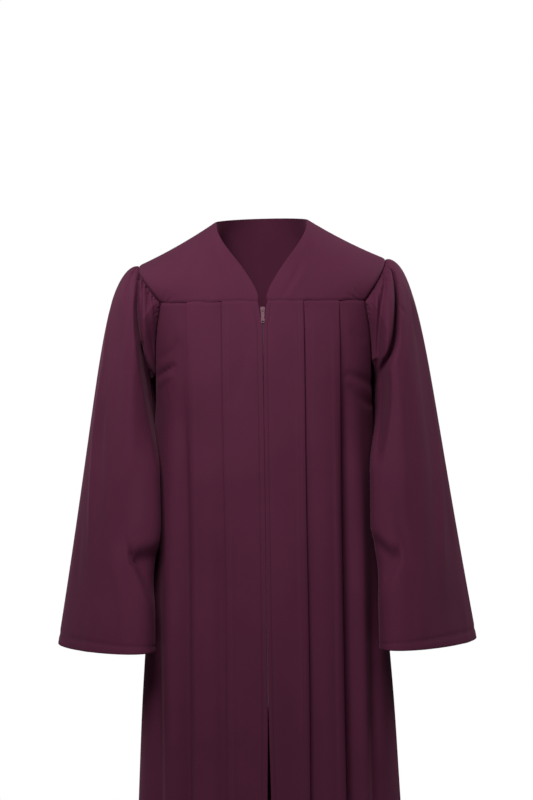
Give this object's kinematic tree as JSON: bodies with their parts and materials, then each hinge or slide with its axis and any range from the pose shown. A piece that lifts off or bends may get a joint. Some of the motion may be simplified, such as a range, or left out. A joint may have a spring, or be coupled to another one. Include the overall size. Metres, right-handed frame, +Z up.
{
  "type": "graduation gown",
  "caption": "Long zip-front graduation gown with a yoked V neck, knife pleats and wide bell sleeves, filled out in its worn shape.",
  "frame": {"origin": "midway between the two neck points, where the shoulder seams meet the neckline and the wearer's shoulders carry the gown", "axes": "+Z up, -Y the way the gown's front faces, +X towards the wearer's left sleeve"},
  "size_m": [0.669, 0.3392, 1.3822],
  "materials": {
    "gown_cloth": "matte maroon polyester, finely woven, with a faint sheen on the folds",
    "zip_cloth": "woven maroon tape",
    "zip_coil": "maroon nylon coil",
    "zip_metal": "maroon enamel",
    "stop_metal": "satin"
  },
  "bodies": {
    "gown": {"yoke_front_left": "gown_cloth", "yoke_front_right": "gown_cloth", "yoke_back": "gown_cloth", "front_left": "gown_cloth", "front_right": "gown_cloth", "back": "gown_cloth", "sleeve_left": "gown_cloth", "sleeve_right": "gown_cloth", "zip_tape_left": "zip_cloth", "zip_tape_right": "zip_cloth", "zip_chain": "zip_coil", "zip_slider": "zip_metal", "zip_stop": "stop_metal"},
    "pull_tab": {"zip_pull": "zip_metal"}
  },
  "joints": [
    {"name": "pull_tab_swing", "type": "hinge", "parent": "gown", "child": "pull_tab", "pos_m": [0, -0.12975, -0.14752], "axis": [-1, 0, 0], "range_deg": [0, 175]}
  ]
}
